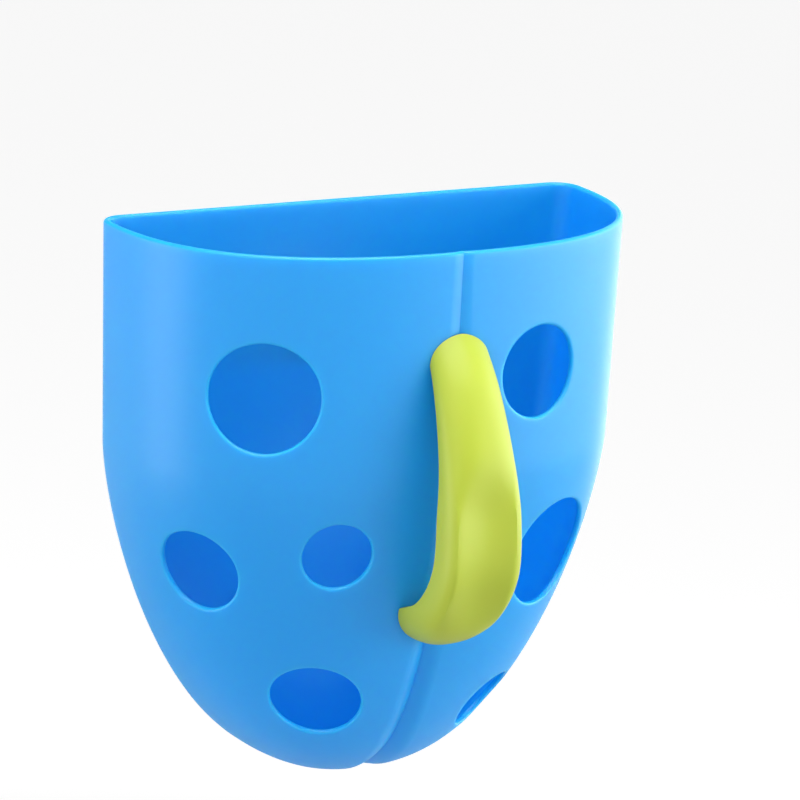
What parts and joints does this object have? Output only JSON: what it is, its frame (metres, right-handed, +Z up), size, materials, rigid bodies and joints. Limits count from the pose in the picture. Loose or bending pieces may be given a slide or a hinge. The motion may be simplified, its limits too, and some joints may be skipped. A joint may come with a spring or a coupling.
{
  "type": "bath toy organizer",
  "caption": "Wall-hung bath toy scoop: deep half-egg bin with a flat back, round drain openings and a grooved front, lifted off its suction-cup bracket by a thumb-rest handle.",
  "frame": {"origin": "on the wall plane, midway between the two suction cups and level with their centres", "axes": "+Y into the wall, so the handle points along -Y; +Z up, the way the scoop lifts off; +X to the viewer's right"},
  "size_m": [0.25, 0.1702, 0.2676],
  "materials": {
    "scoop_blue": "satin moulded, even sky blue",
    "bracket_blue": "satin moulded, the same blue",
    "handle_lime": "matte soft-touch, lime green",
    "cup_clear": "smooth, clear and soft",
    "screw_steel": "stainless"
  },
  "bodies": {
    "bracket": {"wall_bracket": "bracket_blue", "suction_cup_left": "cup_clear", "suction_cup_right": "cup_clear"},
    "scoop": {"scoop_shell": "scoop_blue", "handle_grip": "handle_lime", "handle_liner": "handle_lime", "handle_screw_upper": "screw_steel", "handle_screw_lower": "screw_steel"}
  },
  "joints": [
    {"name": "scoop_lift", "type": "slide", "parent": "bracket", "child": "scoop", "axis": [0, 0, 1], "range_m": [0, 0.028]}
  ]
}
